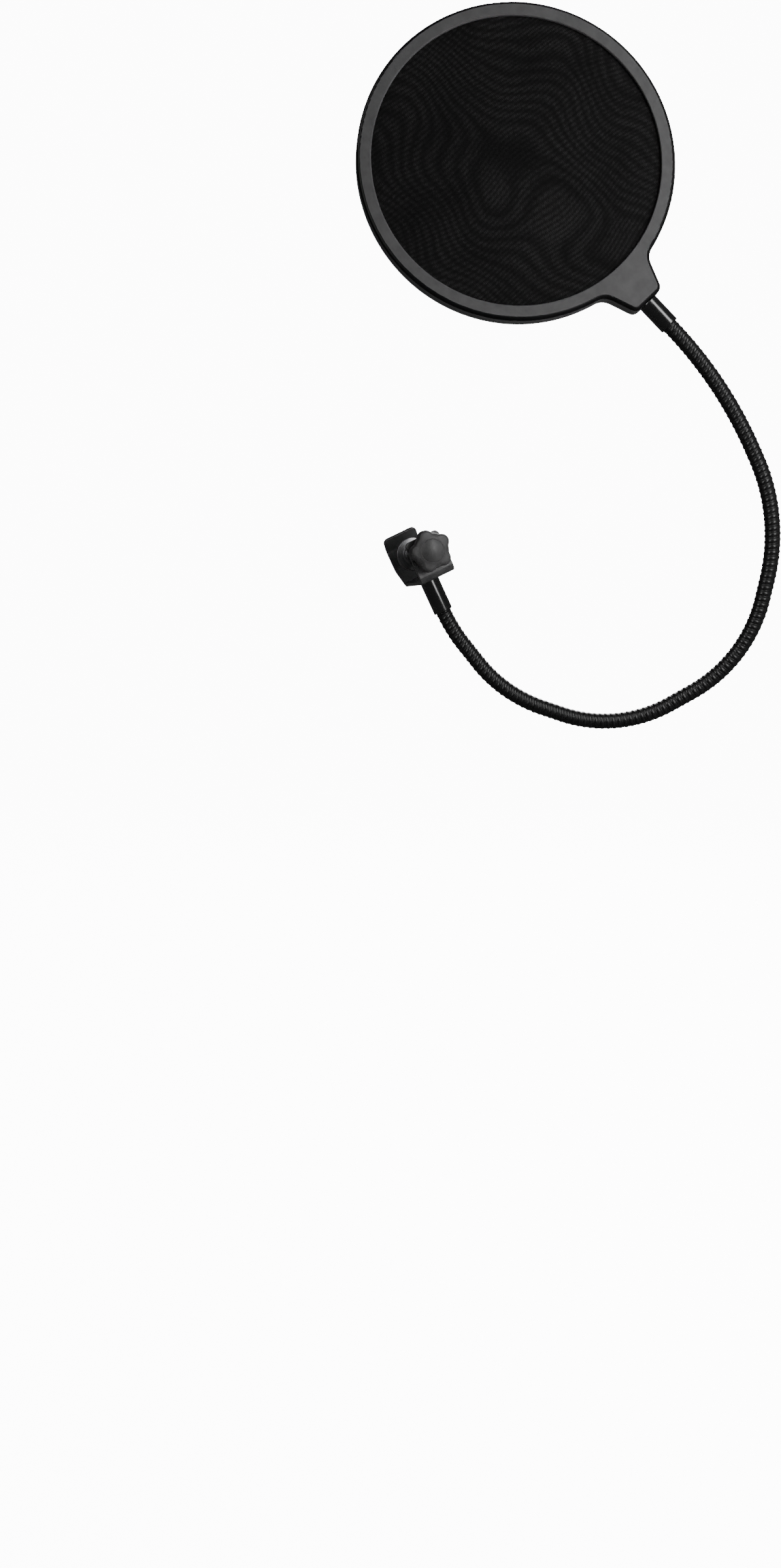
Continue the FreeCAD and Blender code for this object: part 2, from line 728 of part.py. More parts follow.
def lobe_at(sketch, index, angle):
    """One round lobe of the knob, its centre at an angle (degrees) about the bolt."""
    reach = SIZES["lobe_reach"]
    across = Dim(reach * math.cos(math.radians(angle)), f"Sizes.lobe_reach * cos({angle} deg)")
    along = Dim(reach * math.sin(math.radians(angle)), f"Sizes.lobe_reach * sin({angle} deg)")
    centre = Vector(across.number, along.number, 0)
    sketch.addGeometry(Part.Circle(centre, Vector(0, 0, 1), SIZES["lobe_radius"]), False)
    pin(sketch, index, 3, "DistanceX", across, f"across_{index}")
    pin(sketch, index, 3, "DistanceY", along, f"along_{index}")
    number = sketch.addConstraint(Sketcher.Constraint("Radius", index, SIZES["lobe_radius"]))
    sketch.renameConstraint(number, f"radius_{index}")
    sketch.setExpression(f"Constraints.radius_{index}", "Sizes.lobe_radius")


def star_knob():
    """Five-lobed knob with a hexagonal seat for the bolt's head and a round one for its cap."""
    body = turned_part("star_knob", bolt_place, [
        (size["bolt_radius"], size["knob_back"]),
        (size["knob_core"] - 0.8, size["knob_back"]),
        (size["knob_core"], size["knob_back"] + 0.8),
        (size["knob_core"], size["knob_front"] - 1.2),
        (size["knob_core"] - 1.6, size["knob_front"]),
        (size["bolt_radius"], size["knob_front"]),
    ])
    outline = new_sketch(body, "LobeOutline", "XY_Plane")
    for index in range(LOBE_COUNT):
        lobe_at(outline, index, LOBE_START + 360 / LOBE_COUNT * index)
    outline.AttachmentOffset = Placement(Vector(0, 0, SIZES["knob_back"] + 0.4), Rotation())
    outline.setExpression("AttachmentOffset.Base.z", "Sizes.knob_back + 0.4")
    lobes = body.newObject("PartDesign::Pad", "Lobes")
    lobes.Profile = outline
    bind(lobes, "Length", size["knob_front"] - size["knob_back"] - 1.2)
    outline.Visibility = False
    doc.recompute()
    sketch = new_sketch(body, "HexSeat", "XY_Plane")
    hexagon(sketch, size["hex_flat"])
    sketch.AttachmentOffset = Placement(Vector(0, 0, SIZES["hex_start"]), Rotation())
    sketch.setExpression("AttachmentOffset.Base.z", "Sizes.hex_start")
    seat = body.newObject("PartDesign::Pocket", "HeadSeat")
    seat.Profile = sketch
    seat.Reversed = True
    bind(seat, "Length", size["hex_end"] - size["hex_start"])
    sketch.Visibility = False
    cylinder(body, "Subtractive", "CapSeat", size["cap_radius"], size["knob_front"] - size["cap_seat"] + 1,
             (0, 0, size["cap_seat"]), Vector(0, 0, 1))


clamp_bolt()
star_knob()


def knob_cap():
    """Shallow dome pressed into the knob over the bolt's head."""
    rise = SIZES["cap_top"] - SIZES["knob_front"]
    radius = SIZES["cap_radius"]
    dome = (radius ** 2 + rise ** 2) / (2 * rise)
    body = turned_part("knob_cap", bolt_place, [
        (0, size["cap_seat"]),
        (size["cap_radius"], size["cap_seat"]),
        (size["cap_radius"], size["cap_top"]),
        (0, size["cap_top"]),
    ])
    trim = new_sketch(body, "DomeOutline", "XZ_Plane")
    spring = Vector(radius, SIZES["knob_front"], 0)
    crown = Vector(0, SIZES["cap_top"], 0)
    top = SIZES["cap_top"] + 1
    half = math.asin(radius / dome)
    centre = Vector(0, SIZES["cap_top"] - dome, 0)
    middle = centre + Vector(dome * math.sin(half / 2), dome * math.cos(half / 2), 0)
    arc = Part.Arc(crown, middle, spring)
    trim.addGeometry(arc, False)
    trim.addGeometry(Part.LineSegment(spring, Vector(radius + 1, spring.y, 0)), False)
    trim.addGeometry(Part.LineSegment(Vector(radius + 1, spring.y, 0), Vector(radius + 1, top, 0)), False)
    trim.addGeometry(Part.LineSegment(Vector(radius + 1, top, 0), Vector(0, top, 0)), False)
    trim.addGeometry(Part.LineSegment(Vector(0, top, 0), crown), False)
    groove = body.newObject("PartDesign::Groove", "Dome")
    groove.Profile = trim
    groove.ReferenceAxis = (trim, ["V_Axis"])
    groove.Angle = 360
    trim.Visibility = False
    return body


knob_cap()


# ---------------------------------------------------------------- check and export

doc.recompute()
for feature in doc.Objects:
    if "Invalid" in feature.State or "Error" in feature.State:
        raise RuntimeError(f"{feature.Label} did not compute: {feature.State}")
for part in parts:
    if part.Shape.isNull() or not part.Shape.isValid():
        raise RuntimeError(f"{part.Label} has no valid shape")

os.makedirs("parts", exist_ok=True)
for part in parts:
    part.Shape.exportStep(f"parts/{part.Label}.step")
    box = part.Shape.BoundBox
    print(f"{part.Label}: {len(part.Shape.Solids)} solid, {part.Shape.Volume:.0f} mm3, "
          f"{box.XLength:.1f} x {box.YLength:.1f} x {box.ZLength:.1f}")
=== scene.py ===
import json
import math

import bmesh
import bpy
import numpy as np
from mathutils import Matrix, Vector


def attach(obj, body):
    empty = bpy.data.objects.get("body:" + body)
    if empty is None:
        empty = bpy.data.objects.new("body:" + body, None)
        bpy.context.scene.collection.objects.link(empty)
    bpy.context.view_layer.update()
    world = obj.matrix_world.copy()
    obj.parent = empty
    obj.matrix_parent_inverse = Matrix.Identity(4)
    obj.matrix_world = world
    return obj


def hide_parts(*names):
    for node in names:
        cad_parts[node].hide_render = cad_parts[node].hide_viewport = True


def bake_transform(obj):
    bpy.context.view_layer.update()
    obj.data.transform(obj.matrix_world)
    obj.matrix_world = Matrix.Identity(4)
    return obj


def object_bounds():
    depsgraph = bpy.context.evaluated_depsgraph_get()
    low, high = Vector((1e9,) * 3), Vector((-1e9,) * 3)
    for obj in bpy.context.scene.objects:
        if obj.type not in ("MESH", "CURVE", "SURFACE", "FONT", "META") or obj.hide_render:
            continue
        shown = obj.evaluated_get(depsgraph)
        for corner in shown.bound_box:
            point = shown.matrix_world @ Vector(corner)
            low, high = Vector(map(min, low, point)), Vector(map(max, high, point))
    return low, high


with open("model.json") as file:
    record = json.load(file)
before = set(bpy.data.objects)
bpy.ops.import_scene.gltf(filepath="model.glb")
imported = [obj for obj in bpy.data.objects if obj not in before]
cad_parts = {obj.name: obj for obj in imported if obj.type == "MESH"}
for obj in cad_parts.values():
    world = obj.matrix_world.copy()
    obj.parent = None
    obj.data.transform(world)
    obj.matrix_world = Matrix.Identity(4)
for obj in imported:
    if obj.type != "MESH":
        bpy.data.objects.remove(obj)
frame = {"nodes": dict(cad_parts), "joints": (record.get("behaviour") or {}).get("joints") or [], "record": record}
cad_low, cad_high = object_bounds()

MM = 0.001
VOICE = Vector((0, -1, 0))

# Lengths below are in millimetres and angles in degrees, unless a comment says otherwise

# Gooseneck's centreline: where it starts inside each sleeve, its first corner below the web, the
# straight runs kept in the sleeve, at a stretch's ends and before a pivot, and its points
NECK_INSET = 5.2
FIRST_CORNER = 28.0
SLEEVED_RUN = 13.0
SHORTEST_RUN = 0.5
PIVOT_GAP = 4.3
STRAIGHT_POINTS = 80
ARC_POINTS = 400

# Gooseneck's skin: its crown, the winding and rounding of its two wires, the depth of the filler
# and the grooves, its fineness, and the share of the free neck that each bend is spread over
NECK_RADIUS = 4.0
WIRE_PITCH = 2.9
WIRE_SHARE = 0.60
WIRE_ROUND = 1.6
FILLER_DROP = 0.22
FILLER_ROUND = 1.2
GROOVE_DEPTH = 0.42
RINGS_PER_TURN = 14
NECK_SIDES = 44

# Sleeves: radius of the hole in their closed ends, the pocket's floor above that end, their wall
SLEEVE_BORE = 2.5
SLEEVE_FLOOR = 5.0
SLEEVE_WALL = 0.8

# Gauze: radius under the rims, level of each layer, how far its middle gives and its faint ripples
GAUZE_RADIUS = 73.4
GAUZE_LEVEL = 3.22
GAUZE_SAG = 0.3
GAUZE_RIPPLE = 0.05

# Gauze threads: the near layer's pitch and turn; for each crossing set, the near layer's angle,
# the far layer's turn from it and the far layer's pitch; and how wide and far each layer is pulled
NEAR_PITCH = 0.46
KNIT_TURN = 8.0
CROSSING_SETS = ((68.0, 12.6, 0.500), (8.0, -4.0, 0.466))
NEAR_PULL = (60.0, 0.3)
FAR_PULL = (75.0, 2.4)

# Eased edges: their widths, and the facing (0 wall, 1 face) that counts as a hoop's rounded edge
HOOP_EASE = 0.15
BRACKET_EASE = 0.28
ROUNDED_FACING = (0.12, 0.985)

# Knob's outline about the bolt, and its domed cap
LOBE_COUNT = 5
LOBE_START = 17.5
LOBE_REACH = 6.9
LOBE_RADIUS = 3.6
KNOB_CORE = 8.7
LOBE_BLEND = 0.35
CAP_RADIUS = 5.68
CAP_RISE = 1.55
CAP_TOP = 50.6
CAP_BASE = 48.02

# Clamp bolt: its thread, the cone that cuts the thread down at the tip, and its hex head
BOLT_RADIUS = 3.0
THREAD_LEAD = 1.0
THREAD_DEPTH = 0.58
THREAD_RINGS = 10
THREAD_START = 9.6
THREAD_END = 43.0
TIP_RADIUS = 2.42
TIP_SLOPE = 0.7
HEX_HALF = 4.95
HEX_BASE = 44.0
HEX_TOP = 48.0

# Meshes: points closer than these gaps are one (metres), and the angles of flat and sharp edges
WELD_GAP = 1e-7
CAD_WELD_GAP = 2e-6
FLAT_ANGLE = math.radians(0.6)
SHARP_ANGLE = math.radians(40)
LATHE_SIDES = 96
CORNER_STEPS = 4

# Studio, in metres and degrees
FLOOR_LEVEL = -0.30
PAPER_GLOW = 12.0
ROOM_LIGHT = 0.09
WHITE_SEEN = 13.0
CAMERA_PLACE = (-0.2084, -0.8877, -0.0359)
CAMERA_TILT = 84.9
CAMERA_TURN = -12.6
CAMERA_LENS = 40.8


# ---------------------------------------------------------------- places, read from the frame

def node_points(node):
    """A CAD node's vertices, in metres."""
    return np.array([vertex.co for vertex in frame["nodes"][node].data.vertices], float)


def stand(origin, across, up):
    """Placement whose local Z runs along up and local X as near across as it can."""
    z_axis = up.normalized()
    x_axis = (across - z_axis * across.dot(z_axis)).normalized()
    turn = Matrix((x_axis, z_axis.cross(x_axis), z_axis)).transposed().to_4x4()
    return Matrix.Translation(origin) @ turn


def local_points(node, place):
    """A CAD node's vertices in a placement's own axes, in millimetres."""
    points = node_points(node)
    back = np.array(place.inverted())
    return (points @ back[:3, :3].T + back[:3, 3]) / MM


def base_on_axis(node, axis):
    """The point where a turned node's axis leaves its lower end."""
    place = stand(Vector(), Vector((0.3, 0.9, 0.2)), axis)
    points = local_points(node, place)
    low, high = points.min(0), points.max(0)
    return place @ (Vector(((low[0] + high[0]) / 2, (low[1] + high[1]) / 2, low[2])) * MM)


neck_joints = [joint for joint in frame["joints"] if joint["name"].startswith("neck_bend")]
mounts = {mount["name"]: mount for mount in frame["record"]["mounts"]}
bar_axis = Vector(mounts["jaw_grip"]["axis"]).normalized()
clamp_down = bar_axis.cross(VOICE)
bolt_place = stand(Vector(), bar_axis, VOICE)

rim_points = node_points("spacer_ring")
rim_centre = Vector(rim_points.mean(0))
thin_way = Vector(np.linalg.svd(rim_points - rim_points.mean(0), full_matrices=False)[2][2])
screen_front = thin_way if thin_way.dot(VOICE) > 0 else -thin_way
tab_way = Vector(node_points("tab_insert").mean(0)) - rim_centre
screen_place = stand(rim_centre, tab_way, screen_front)
tab_out = screen_place.to_3x3() @ Vector((1, 0, 0))

web_exit = base_on_axis("lower_sleeve", clamp_down)
tab_exit = base_on_axis("upper_sleeve", tab_out)
lower_sleeve_place = stand(web_exit, VOICE, clamp_down)
upper_sleeve_place = stand(tab_exit, VOICE, tab_out)


# ---------------------------------------------------------------- mesh helpers

def keep_drawn(mesh):
    """Store each point's coordinates in the attribute "local", which materials read."""
    points = np.empty(len(mesh.vertices) * 3, np.float32)
    mesh.vertices.foreach_get("co", points)
    mesh.attributes.new("local", "FLOAT_VECTOR", "POINT").data.foreach_set("vector", points)


def add_piece(name, vertices, faces, body, material, nodes, place=None, closed=True):
    """A mesh piece drawn in millimetres in a placement's axes, with its body and material."""
    mesh = bpy.data.meshes.new(name)
    mesh.from_pydata([tuple(vertex) for vertex in np.asarray(vertices, float) * MM], [], faces)
    keep_drawn(mesh)
    mesh.polygons.foreach_set("use_smooth", [True] * len(mesh.polygons))
    mesh.materials.append(material)
    if place is not None:
        mesh.transform(place)
    if closed:
        weld(mesh)
    piece = bpy.data.objects.new(name, mesh)
    bpy.context.scene.collection.objects.link(piece)
    if body:
        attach(piece, body)
    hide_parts(*nodes)
    return piece


def ring_points(radius, height, sides):
    """A ring of points about the local Z axis; radius is a number or a function of the angle."""
    points = []
    for side in range(sides):
        angle = 2 * math.pi * side / sides
        reach = radius(angle) if callable(radius) else radius
        points.append((reach * math.cos(angle), reach * math.sin(angle), height))
    return points


def ring_faces(rings, sides, closed=False):
    """Quads between successive rings of points; closed joins the last ring to the first."""
    faces = []
    for ring in range(rings if closed else rings - 1):
        low, high = ring * sides, (ring + 1) % rings * sides
        for side in range(sides):
            after = (side + 1) % sides
            faces.append((low + side, low + after, high + after, high + side))
    return faces


def soft_outline(points, radius, closed):
    """The outline with each of its corners rounded, and arcs kept short of the next corner."""
    points = [Vector((x, y)) for x, y in points]
    count = len(points)
    result = []
    for index, corner in enumerate(points):
        if not closed and index in (0, count - 1):
            result.append(corner)
            continue
        before, after = points[index - 1] - corner, points[(index + 1) % count] - corner
        half = before.angle(after) / 2
        reach = min(radius / math.tan(half), before.length * 0.45, after.length * 0.45)
        start = corner + before.normalized() * reach
        end = corner + after.normalized() * reach
        for step in range(CORNER_STEPS + 1):
            share = step / CORNER_STEPS
            first = start.lerp(corner, share)
            result.append(first.lerp(corner.lerp(end, share), share))
    return result


def lathe(name, outline, body, material, nodes, place, radius=0.25, closed=True):
    """A turned piece from (radius, height) points; an open outline starts and ends on the axis."""
    outline = soft_outline(outline, radius, closed)
    vertices = []
    for reach, height in outline:
        vertices += ring_points(reach, height, LATHE_SIDES)
    faces = ring_faces(len(outline), LATHE_SIDES, closed)
    add_piece(name, vertices, faces, body, material, nodes, place)


def weld(mesh):
    """Merge points that coincide, such as a ring shrunk to the axis, and face all sides out."""
    work = bmesh.new()
    work.from_mesh(mesh)
    bmesh.ops.remove_doubles(work, verts=work.verts, dist=WELD_GAP)
    bmesh.ops.dissolve_degenerate(work, edges=work.edges, dist=WELD_GAP)
    bmesh.ops.recalc_face_normals(work, faces=work.faces)
    work.to_mesh(mesh)
    work.free()


def softened(name, node, body, material, width):
    """A CAD node's own shape with its sharp edges eased, as tumbled or painted edges are."""
    mesh = frame["nodes"][node].data.copy()
    mesh.name = name
    work = bmesh.new()
    work.from_mesh(mesh)
    bmesh.ops.remove_doubles(work, verts=work.verts, dist=CAD_WELD_GAP)
    bmesh.ops.dissolve_limit(work, angle_limit=FLAT_ANGLE, verts=work.verts, edges=work.edges)
    sharp = [
        edge for edge in work.edges
        if len(edge.link_faces) == 2 and edge.calc_face_angle() > SHARP_ANGLE]
    bmesh.ops.bevel(
        work, geom=sharp, offset=width * MM, segments=3, profile=0.5,
        affect="EDGES", clamp_overlap=True)
    for face in work.faces:
        face.smooth = True
    work.to_mesh(mesh)
    work.free()
    keep_drawn(mesh)
    mesh.materials.clear()
    mesh.materials.append(material)
    piece = bpy.data.objects.new(name, mesh)
    bpy.context.scene.collection.objects.link(piece)
    weighted = piece.modifiers.new("Weighted", "WEIGHTED_NORMAL")
    weighted.keep_sharp = True
    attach(piece, body)
    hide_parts(node)
    return piece


# ---------------------------------------------------------------- materials

def new_node(tree, kind, settings=None, **inputs):
    """A shader node; inputs are named or numbered (i0, i1), each a plain value or a socket."""
    node = tree.nodes.new(kind)
    for key, value in (settings or {}).items():
        setattr(node, key, value)
    for key, value in inputs.items():
        numbered = key[0] == "i" and key[1:].isdigit()
        socket = node.inputs[int(key[1:]) if numbered else key]
        if isinstance(value, bpy.types.NodeSocket):
            tree.links.new(value, socket)
        else:
            socket.default_value = value
    return node


def maths(tree, operation, *values, clamp=False):
    """The result of an operation on values or sockets, kept within 0 to 1 if clamped."""
    settings = {"operation": operation, "use_clamp": clamp}
    inputs = {f"i{index}": value for index, value in enumerate(values)}
    return new_node(tree, "ShaderNodeMath", settings, **inputs).outputs[0]


def vector_maths(tree, operation, *values):
    """The result of an operation on vectors or their sockets; a length is a plain value."""
    inputs = {f"i{index}": value for index, value in enumerate(values)}
    node = new_node(tree, "ShaderNodeVectorMath", {"operation": operation}, **inputs)
    return node.outputs["Value" if operation == "LENGTH" else "Vector"]


def start_material(name, constants, on_cad=False):
    """A material with its Principled shader's constants set, and the coordinates it reads.

    A CAD node has no attribute "local", and sits unrotated in the frame, so it reads its own axes.
    """
    material = bpy.data.materials.new(name)
    material.use_nodes = True
    tree = material.node_tree
    shader = tree.nodes["Principled BSDF"]
    for key, value in constants.items():
        shader.inputs[key].default_value = value
    if on_cad:
        coords = new_node(tree, "ShaderNodeTexCoord").outputs["Object"]
    else:
        local = new_node(tree, "ShaderNodeAttribute", {"attribute_name": "local"})
        coords = local.outputs["Vector"]
    return material, tree, shader, coords


def noise(tree, coords, size_mm, detail=3.0):
    """Noise whose features are about size_mm across."""
    return new_node(
        tree, "ShaderNodeTexNoise", Vector=coords, Scale=1000.0 / size_mm, Detail=detail).outputs[0]


def spread(tree, value, low, high, to_low, to_high):
    """Map a value's useful range onto another one."""
    return new_node(
        tree, "ShaderNodeMapRange", i0=value, i1=low, i2=high, i3=to_low, i4=to_high).outputs[0]


def blend_colours(tree, factor, dark, light):
    """A colour between two others."""
    ramp = tree.nodes.new("ShaderNodeValToRGB")
    tree.links.new(factor, ramp.inputs[0])
    ramp.color_ramp.elements[0].color = (*dark, 1)
    ramp.color_ramp.elements[1].color = (*light, 1)
    return ramp.outputs[0]


def bumped(tree, shader, height, depth_mm, strength=1.0):
    """Drive the shader's normal from a height that is 0 to 1 over depth_mm."""
    bump = new_node(
        tree, "ShaderNodeBump", Height=height, Distance=depth_mm * MM, Strength=strength)
    tree.links.new(bump.outputs[0], shader.inputs["Normal"])


def surface(
        name, dark, light, patch_mm, rough, grain_mm, grain_depth_mm, on_cad=False, **constants):
    """A surface mottled between two colours, uneven in gloss and grained at its real scale."""
    material, tree, shader, coords = start_material(name, constants, on_cad)
    patches = spread(tree, noise(tree, coords, patch_mm), 0.3, 0.7, 0.0, 1.0)
    tree.links.new(blend_colours(tree, patches, dark, light), shader.inputs["Base Color"])
    gloss = spread(tree, noise(tree, coords, patch_mm * 0.4, 5.0), 0.3, 0.7, *rough)
    tree.links.new(gloss, shader.inputs["Roughness"])
    bumped(tree, shader, noise(tree, coords, grain_mm), grain_depth_mm)
    return material


def shade_and_gloss_rounding(material, colour, rough):
    """Give a surface a painted shade and another gloss where the attribute "rounding" marks its edge."""
    tree = material.node_tree
    shader = tree.nodes["Principled BSDF"]
    rounding = new_node(tree, "ShaderNodeAttribute", {"attribute_name": "rounding"}).outputs["Fac"]
    face_colour = shader.inputs["Base Color"].links[0].from_socket
    face_rough = shader.inputs["Roughness"].links[0].from_socket
    mixed = new_node(
        tree, "ShaderNodeMix", {"data_type": "RGBA"}, i0=rounding, i6=face_colour, i7=(*colour, 1))
    tree.links.new(mixed.outputs[2], shader.inputs["Base Color"])
    tree.links.new(
        new_node(tree, "ShaderNodeMix", i0=rounding, i2=face_rough, i3=rough).outputs[0],
        shader.inputs["Roughness"])


def wound_wire():
    """Oiled black wire: dull and painted darker as shade in its grooves, glossier and lighter on its crowns, with
    scuffs.
    """
    material, tree, shader, coords = start_material(
        "neck_wire_surface", {"Specular IOR Level": 0.42})
    crown = new_node(tree, "ShaderNodeAttribute", {"attribute_name": "crown"}).outputs["Fac"]
    scuffs = spread(tree, noise(tree, coords, 1.4, 5.0), 0.35, 0.75, 0.0, 0.35)
    crown_and_scuffs = maths(tree, "ADD", crown, scuffs, clamp=True)
    # Colour: painted shade in the grooves, lighter on the crowns; the scuffs are wear
    wire_colour_with_groove_shade = blend_colours(tree, crown_and_scuffs, (0.0010, 0.0010, 0.0011), (0.005, 0.005, 0.0052))
    tree.links.new(wire_colour_with_groove_shade, shader.inputs["Base Color"])
    tree.links.new(spread(tree, crown_and_scuffs, 0.0, 1.0, 0.6, 0.25), shader.inputs["Roughness"])
    bumped(tree, shader, noise(tree, coords, 0.35), 0.012)
    return material


def band(tree, coords, angle, pitch_mm):
    """Stripes 0 to 1 across the local XY plane, at an angle in degrees."""
    turned = new_node(
        tree, "ShaderNodeMapping", Vector=coords, Rotation=(0, 0, math.radians(angle)))
    along = new_node(tree, "ShaderNodeSeparateXYZ", i0=turned.outputs[0]).outputs[0]
    wave = maths(tree, "SINE", maths(tree, "MULTIPLY", along, 2 * math.pi / (pitch_mm * MM)))
    return spread(tree, wave, -1.0, 1.0, 0.0, 1.0)


def knit(tree, coords, angle, pitch_mm):
    """Six-sided openings of knitted gauze: 1 on the threads, 0 in the openings."""
    total = band(tree, coords, angle, pitch_mm)
    for more in (60, 120):
        total = maths(tree, "ADD", total, band(tree, coords, angle + more, pitch_mm))
    return spread(tree, total, 1.0, 1.7, 1.0, 0.0)


def pulled(tree, coords, size_mm, reach_mm):
    """Coordinates drawn this way and that by up to reach_mm, as cloth is when it is stretched."""
    drift = new_node(
        tree, "ShaderNodeTexNoise", Vector=coords, Scale=1000.0 / size_mm, Detail=1.0)
    centred = vector_maths(tree, "SUBTRACT", drift.outputs["Color"], (0.5, 0.5, 0.5))
    reach = 4 * reach_mm * MM
    return vector_maths(
        tree, "ADD", coords, vector_maths(tree, "MULTIPLY", centred, (reach, reach, 0)))


def gauze_fabric():
    """Fine black nylon gauze over a second layer, whose threads beat against the first, painted with light and
    shade.
    """
    material, tree, shader, coords = start_material(
        "gauze_fabric", {"Roughness": 0.5, "Specular IOR Level": 0.02})
    near = pulled(tree, coords, *NEAR_PULL)
    far = pulled(tree, coords, *FAR_PULL)
    front = knit(tree, near, KNIT_TURN, NEAR_PITCH)
    lit = maths(tree, "MULTIPLY_ADD", front, 0.1, 0.9)
    for angle, turn, far_pitch in CROSSING_SETS:
        for layer, heading, pitch in ((near, angle, NEAR_PITCH), (far, angle + turn, far_pitch)):
            lit = maths(tree, "MULTIPLY", lit, band(tree, layer, heading, pitch))
    # Knots and uneven patches are the gauze's own tone
    knots = spread(tree, noise(tree, coords, 1.6), 0.35, 0.65, 0.45, 1.0)
    uneven = spread(tree, noise(tree, coords, 26.0), 0.3, 0.7, 0.35, 1.0)
    for share in (knots, uneven):
        lit = maths(tree, "MULTIPLY", lit, share)
    # Painted light and shade: darkest in the openings and where the layers' threads part, lighter where they meet
    sharper = spread(tree, lit, 0.0, 0.30, 0.0, 1.0)
    shade = blend_colours(tree, sharper, (0.003, 0.003, 0.003), (0.048, 0.048, 0.0485))
    tree.links.new(shade, shader.inputs["Base Color"])
    bumped(tree, shader, front, 0.03, 0.7)
    return material


def turned_steel(name, dark, light, rough):
    """Plated steel with the fine concentric marks of turning, about the local Z axis."""
    material, tree, shader, coords = start_material(name, {"Metallic": 1.0})
    reach = vector_maths(tree, "LENGTH", vector_maths(tree, "MULTIPLY", coords, (1, 1, 0)))
    rings = new_node(
        tree, "ShaderNodeTexNoise", {"noise_dimensions": "1D"}, W=reach, Scale=16000.0).outputs[0]
    patches = spread(tree, noise(tree, coords, 3.0, 5.0), 0.3, 0.7, 0.0, 1.0)
    tree.links.new(blend_colours(tree, patches, dark, light), shader.inputs["Base Color"])
    tree.links.new(spread(tree, rings, 0.3, 0.7, *rough), shader.inputs["Roughness"])
    bumped(tree, shader, rings, 0.0012)
    return material


hoop_plastic = surface(
    "hoop_moulded", (0.054, 0.054, 0.055), (0.066, 0.066, 0.067), 6.0, (0.52, 0.64),
    0.28, 0.018, **{"Specular IOR Level": 0.12})
# Painted shade: the hoop's rounded outer edge is coloured near black, and is glossier
shade_and_gloss_rounding(hoop_plastic, (0.004, 0.004, 0.0042), 0.34)
spacer_plastic = surface(
    "spacer_moulded", (0.014, 0.014, 0.014), (0.022, 0.022, 0.022), 5.0, (0.5, 0.65), 0.3, 0.01,
    on_cad=True)
brass = surface(
    "insert_turned", (0.55, 0.39, 0.14), (0.72, 0.54, 0.24), 1.5, (0.22, 0.4), 0.2, 0.006,
    on_cad=True, Metallic=1.0)
stud_steel = surface(
    "stud_plated", (0.30, 0.30, 0.31), (0.48, 0.48, 0.47), 3.0, (0.22, 0.38), 0.2, 0.006,
    on_cad=True, Metallic=1.0)
sleeve_gloss = surface(
    "sleeve_gloss_black", (0.002, 0.002, 0.0022), (0.004, 0.004, 0.0042), 7.0, (0.15, 0.22),
    1.6, 0.006, **{"Specular IOR Level": 1.0})
bracket_satin = surface(
    "bracket_satin_black", (0.026, 0.026, 0.0265), (0.038, 0.038, 0.0385), 6.0, (0.28, 0.40),
    1.3, 0.010, **{"Specular IOR Level": 0.5})
facing_rubber = surface(
    "facing_matt_rubber", (0.008, 0.008, 0.008), (0.016, 0.016, 0.0155), 3.0, (0.7, 0.85),
    0.25, 0.02)
knob_satin = surface(
    "knob_satin_black", (0.030, 0.030, 0.0305), (0.040, 0.040, 0.0405), 4.0, (0.42, 0.54),
    0.4, 0.010, **{"Specular IOR Level": 0.4})
cap_satin = surface(
    "cap_satin_black", (0.034, 0.034, 0.0345), (0.044, 0.044, 0.0445), 4.0, (0.38, 0.48),
    0.5, 0.008, **{"Specular IOR Level": 0.4})
neck_wire = wound_wire()
gauze = gauze_fabric()
plated_steel = turned_steel(
    "plated_steel_turned", (0.30, 0.30, 0.31), (0.48, 0.48, 0.47), (0.22, 0.38))
dark_nickel = turned_steel(
    "dark_nickel_turned", (0.13, 0.13, 0.135), (0.21, 0.21, 0.215), (0.24, 0.32))


# ---------------------------------------------------------------- gooseneck

def neck_line():
    """Close points along the gooseneck's centreline, and its pivots."""
    pivots = [Vector(joint["pos_m"]) / MM for joint in neck_joints]
    cuts = [web_exit / MM + clamp_down * NECK_INSET, *pivots, tab_exit / MM + tab_out * NECK_INSET]
    corner = web_exit / MM + clamp_down * FIRST_CORNER
    line = []
    for number, (start, end) in enumerate(zip(cuts, cuts[1:])):
        if number:
            corner = 2 * start - corner
        line += neck_stretch(start, corner, end, number == 0, number == len(pivots))
    return np.array([tuple(point) for point in line]), pivots


def neck_stretch(start, corner, end, first, last):
    """Points of one stretch: straight, one arc round its corner, and straight again."""
    inward, outward = (corner - start).normalized(), (end - corner).normalized()
    half = inward.angle(outward) / 2
    before, after = (corner - start).length, (end - corner).length
    keep_in = SLEEVED_RUN if first else SHORTEST_RUN
    keep_out = SHORTEST_RUN if last else SHORTEST_RUN + PIVOT_GAP
    tangent = min(before - keep_in, after - keep_out)
    bend = tangent / math.tan(half)
    side = (outward - inward * inward.dot(outward)).normalized()
    arc_start, arc_end = corner - inward * tangent, corner + outward * tangent
    centre = arc_start + side * bend
    shares = np.linspace(0, 1, STRAIGHT_POINTS, endpoint=False)
    points = [start.lerp(arc_start, share) for share in shares]
    for turn in np.linspace(0, 2 * half, ARC_POINTS, endpoint=False):
        points.append(centre + inward * (bend * math.sin(turn)) - side * (bend * math.cos(turn)))
    return points + [arc_end.lerp(end, share) for share in shares]


def resampled(line, step):
    """The line's points at even steps, with the distance of each original point."""
    runs = np.linalg.norm(np.diff(line, axis=0), axis=1)
    gone = np.concatenate([[0], np.cumsum(runs)])
    marks = np.arange(0, gone[-1], step)
    points = np.stack([np.interp(marks, gone, line[:, axis]) for axis in range(3)], axis=1)
    return marks, points, gone


